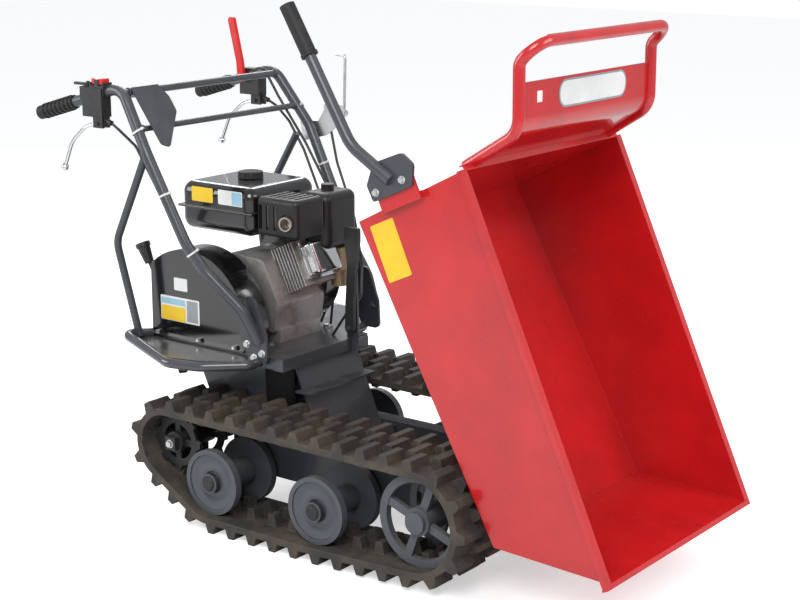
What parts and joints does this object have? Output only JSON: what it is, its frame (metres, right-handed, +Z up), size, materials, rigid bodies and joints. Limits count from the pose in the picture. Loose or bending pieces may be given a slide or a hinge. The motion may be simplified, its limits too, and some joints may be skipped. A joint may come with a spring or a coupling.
{
  "type": "power wheelbarrow",
  "caption": "Walk-behind tracked power barrow with a hand-tipped steel skip, rear petrol engine with belt drive, and handlebars with hand levers.",
  "frame": {"origin": "on the ground, under the middle of the machine's overall box", "axes": "+X forward (the way the skip tips), +Y to the machine's left, +Z up"},
  "size_m": [1.568, 0.66, 1.1792],
  "materials": {
    "red_paint": "gloss",
    "frame_paint": "semi-gloss",
    "engine_black": "gloss",
    "black_metal": "satin",
    "track_rubber": "matt, dusty",
    "grip_rubber": "matt",
    "black_plastic": "matt",
    "red_plastic": "gloss",
    "zinc": "zinc plated",
    "cast_aluminium": "as cast",
    "chrome": "bright",
    "wheel_paint": "satin",
    "steel": "machined",
    "cable_sheath": "satin"
  },
  "bodies": {
    "chassis": {"track_frame_left": "frame_paint", "track_frame_right": "frame_paint", "rubber_track_left": "track_rubber", "rubber_track_right": "track_rubber", "upper_frame": "frame_paint", "gearbox": "black_metal", "side_steps": "frame_paint", "pivot_shaft": "steel", "handlebar_left": "frame_paint", "handlebar_right": "frame_paint", "crossbars": "frame_paint", "rear_struts": "frame_paint", "control_panel": "frame_paint", "hand_grip_left": "grip_rubber", "hand_grip_right": "grip_rubber", "lever_perch_left": "black_plastic", "lever_perch_right": "black_plastic", "steering_cable_left": "cable_sheath", "steering_cable_right": "cable_sheath", "control_cables": "cable_sheath", "crankcase": "cast_aluminium", "cylinder": "cast_aluminium", "rocker_cover": "chrome", "fuel_tank": "engine_black", "fuel_cap": "engine_black", "muffler": "steel", "muffler_guard": "black_metal", "air_cleaner": "engine_black", "carburettor": "cast_aluminium", "recoil_cover": "engine_black", "drive_belt": "grip_rubber", "belt_cover": "black_metal", "latch_plate": "zinc", "frame_bolts": "zinc"},
    "skip": {"skip_tub": "red_paint", "guard_tube": "red_paint", "guard_sheet": "red_paint", "dump_lever": "frame_paint", "dump_grip": "grip_rubber", "lever_bolts": "zinc"},
    "sprocket_left": {"sprocket_left": "black_metal"},
    "sprocket_right": {"sprocket_right": "black_metal"},
    "idler_left": {"idler_wheel_left": "wheel_paint"},
    "idler_right": {"idler_wheel_right": "wheel_paint"},
    "road_rear_left": {"road_wheel_rear_left": "wheel_paint"},
    "road_rear_right": {"road_wheel_rear_right": "wheel_paint"},
    "road_front_left": {"road_wheel_front_left": "wheel_paint"},
    "road_front_right": {"road_wheel_front_right": "wheel_paint"},
    "steering_left": {"steering_lever_left": "chrome"},
    "steering_right": {"steering_lever_right": "chrome"},
    "clutch": {"clutch_lever": "red_plastic"},
    "throttle": {"throttle_lever": "black_plastic"},
    "switch": {"stop_switch": "red_plastic"},
    "shifter": {"gear_lever": "black_plastic"},
    "lock": {"lock_rod": "black_metal"},
    "starter": {"recoil_handle": "black_plastic"},
    "crank": {"engine_pulley": "steel"},
    "gearbox_input": {"gearbox_pulley": "steel"},
    "hook": {"latch_hook": "black_metal"},
    "trigger": {"latch_trigger": "zinc"}
  },
  "joints": [
    {"name": "skip_tip", "type": "hinge", "parent": "chassis", "child": "skip", "pos_m": [0.33656, 0, 0.3941], "axis": [0, 1, 0], "range_deg": [-65.7, 0]},
    {"name": "sprocket_spin_left", "type": "hinge", "parent": "chassis", "child": "sprocket_left", "pos_m": [-0.34974, 0.24, 0.178], "axis": [0, 1, 0], "continuous": true},
    {"name": "idler_spin_left", "type": "hinge", "parent": "chassis", "child": "idler_left", "pos_m": [0.33809, 0.24, 0.146], "axis": [0, 1, 0], "continuous": true},
    {"name": "road_rear_spin_left", "type": "hinge", "parent": "chassis", "child": "road_rear_left", "pos_m": [-0.22974, 0.24, 0.11], "axis": [0, 1, 0], "continuous": true},
    {"name": "road_front_spin_left", "type": "hinge", "parent": "chassis", "child": "road_front_left", "pos_m": [0.07026, 0.24, 0.11], "axis": [0, 1, 0], "continuous": true},
    {"name": "sprocket_spin_right", "type": "hinge", "parent": "chassis", "child": "sprocket_right", "pos_m": [-0.34974, -0.24, 0.178], "axis": [0, 1, 0], "continuous": true},
    {"name": "idler_spin_right", "type": "hinge", "parent": "chassis", "child": "idler_right", "pos_m": [0.33809, -0.24, 0.146], "axis": [0, 1, 0], "continuous": true},
    {"name": "road_rear_spin_right", "type": "hinge", "parent": "chassis", "child": "road_rear_right", "pos_m": [-0.22974, -0.24, 0.11], "axis": [0, 1, 0], "continuous": true},
    {"name": "road_front_spin_right", "type": "hinge", "parent": "chassis", "child": "road_front_right", "pos_m": [0.07026, -0.24, 0.11], "axis": [0, 1, 0], "continuous": true},
    {"name": "steering_squeeze_left", "type": "hinge", "parent": "chassis", "child": "steering_left", "pos_m": [-0.57974, 0.266, 0.88], "axis": [0, 1, 0], "range_deg": [0, 22], "stiffness_Nm_per_rad": 0.8},
    {"name": "steering_squeeze_right", "type": "hinge", "parent": "chassis", "child": "steering_right", "pos_m": [-0.57974, -0.266, 0.88], "axis": [0, 1, 0], "range_deg": [0, 22], "stiffness_Nm_per_rad": 0.8},
    {"name": "clutch_throw", "type": "hinge", "parent": "chassis", "child": "clutch", "pos_m": [-0.60574, 0.236, 0.936], "axis": [0, 1, 0], "range_deg": [0, 40]},
    {"name": "throttle_turn", "type": "hinge", "parent": "chassis", "child": "throttle", "pos_m": [-0.62174, -0.262, 0.966], "axis": [0, 0, 1], "range_deg": [0, 60]},
    {"name": "stop_rock", "type": "hinge", "parent": "chassis", "child": "switch", "pos_m": [-0.58174, -0.262, 0.975], "axis": [0, 1, 0], "range_deg": [-6, 6]},
    {"name": "gear_shift", "type": "hinge", "parent": "chassis", "child": "shifter", "pos_m": [-0.54774, -0.09, 0.366], "axis": [0, 1, 0], "range_deg": [-8, 8]},
    {"name": "lock_pull", "type": "slide", "parent": "chassis", "child": "lock", "axis": [-0.9176, -0.3381, -0.2093], "range_m": [0, 0.02]},
    {"name": "starter_pull", "type": "slide", "parent": "chassis", "child": "starter", "axis": [0, 1, 0], "range_m": [0, 0.05], "stiffness_N_per_m": 40},
    {"name": "crank_spin", "type": "hinge", "parent": "chassis", "child": "crank", "pos_m": [-0.31974, -0.133, 0.505], "axis": [0, 1, 0], "continuous": true},
    {"name": "gearbox_spin", "type": "hinge", "parent": "chassis", "child": "gearbox_input", "pos_m": [-0.43474, -0.133, 0.462], "axis": [0, 1, 0], "continuous": true},
    {"name": "latch_release", "type": "hinge", "parent": "chassis", "child": "hook", "pos_m": [-0.11174, 0.043, 0.412], "axis": [0, 1, 0], "range_deg": [-5, 0], "stiffness_Nm_per_rad": 3},
    {"name": "latch_trigger_pull", "type": "hinge", "parent": "chassis", "child": "trigger", "pos_m": [-0.33374, 0.298, 0.862], "axis": [0, 1, 0], "range_deg": [-30, 0]}
  ],
  "couplings": [
    {"joint": "idler_spin_left", "follows": "sprocket_spin_left", "ratio": 0.72924},
    {"joint": "road_rear_spin_left", "follows": "sprocket_spin_left", "ratio": 0.95023},
    {"joint": "road_front_spin_left", "follows": "sprocket_spin_left", "ratio": 0.95023},
    {"joint": "idler_spin_right", "follows": "sprocket_spin_right", "ratio": 0.72924},
    {"joint": "road_rear_spin_right", "follows": "sprocket_spin_right", "ratio": 0.95023},
    {"joint": "road_front_spin_right", "follows": "sprocket_spin_right", "ratio": 0.95023},
    {"joint": "crank_spin", "follows": "gearbox_spin", "ratio": 1.8235},
    {"joint": "latch_trigger_pull", "follows": "latch_release", "ratio": 6}
  ]
}
